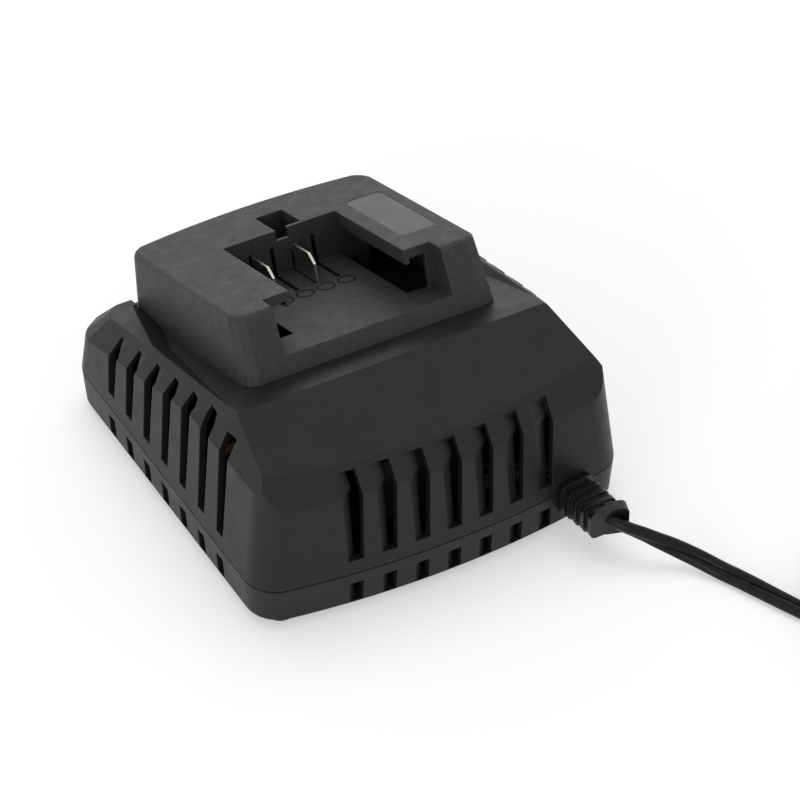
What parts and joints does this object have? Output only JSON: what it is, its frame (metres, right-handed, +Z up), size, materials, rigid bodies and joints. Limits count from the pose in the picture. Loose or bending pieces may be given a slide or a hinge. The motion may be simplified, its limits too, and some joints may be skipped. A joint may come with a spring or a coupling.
{
  "type": "power tool battery charger",
  "caption": "Desktop charger for a slide-on power tool battery: tilted dock with guide rails and blade contacts on a vented case, with a mains lead and plug.",
  "frame": {"origin": "middle of the case's footprint at table level, without the free mains lead", "axes": "+X across the case towards the side where the mains lead leaves the front, +Y from the front to the back, +Z up"},
  "size_m": [0.2116, 0.2368, 0.0683],
  "materials": {
    "case_plastic": "fine moulded texture, charcoal",
    "dock_plastic": "spark-eroded moulded texture, dark grey",
    "label": "smooth grey film, blank",
    "contact_metal": "nickel-plated, stamped",
    "block_plastic": "cream, glass-filled",
    "red_insulation": "smooth wire insulation",
    "board": "glass-epoxy laminate, green",
    "ferrite": "sintered, dull",
    "tape": "wrapped winding tape",
    "can_sleeve": "shrink sleeve",
    "film_case": "moulded capacitor case",
    "copper": "enamelled wire",
    "fuse_glass": "clear tube",
    "tin": "tinned",
    "aluminium": "extruded",
    "epoxy": "moulded package",
    "resistor_body": "lacquered",
    "screw_steel": "zinc-plated",
    "foot_rubber": "dull",
    "boot_rubber": "semi-gloss, flexible",
    "cord_jacket": "semi-gloss flexible jacket",
    "white_insulation": "smooth wire insulation",
    "plug_plastic": "moulded-on plug body",
    "plug_brass": "plain stamped blade"
  },
  "bodies": {
    "root": {"upper_shell": "case_plastic", "lower_shell": "case_plastic", "battery_dock": "dock_plastic", "label_plate": "label", "terminal_positive": "contact_metal", "terminal_negative": "contact_metal", "terminal_block": "block_plastic", "terminal_leads": "red_insulation", "circuit_board": "board", "transformer_core": "ferrite", "transformer_winding": "tape", "input_capacitor": "can_sleeve", "output_capacitors": "can_sleeve", "filter_capacitor": "film_case", "choke_core": "ferrite", "choke_winding": "copper", "fuse_tube": "fuse_glass", "fuse_clips": "tin", "heat_sink": "aluminium", "power_transistor": "epoxy", "rectifier": "epoxy", "control_chip": "epoxy", "resistors": "resistor_body", "case_screws": "screw_steel", "board_screws": "screw_steel", "dock_screws": "screw_steel", "rubber_feet": "foot_rubber", "strain_relief": "boot_rubber", "cord_conductors": "white_insulation", "power_cord": "cord_jacket", "cord_tail": "cord_jacket", "cord_coil": "cord_jacket", "plug_body": "plug_plastic", "plug_blades": "plug_brass"}
  },
  "joints": []
}
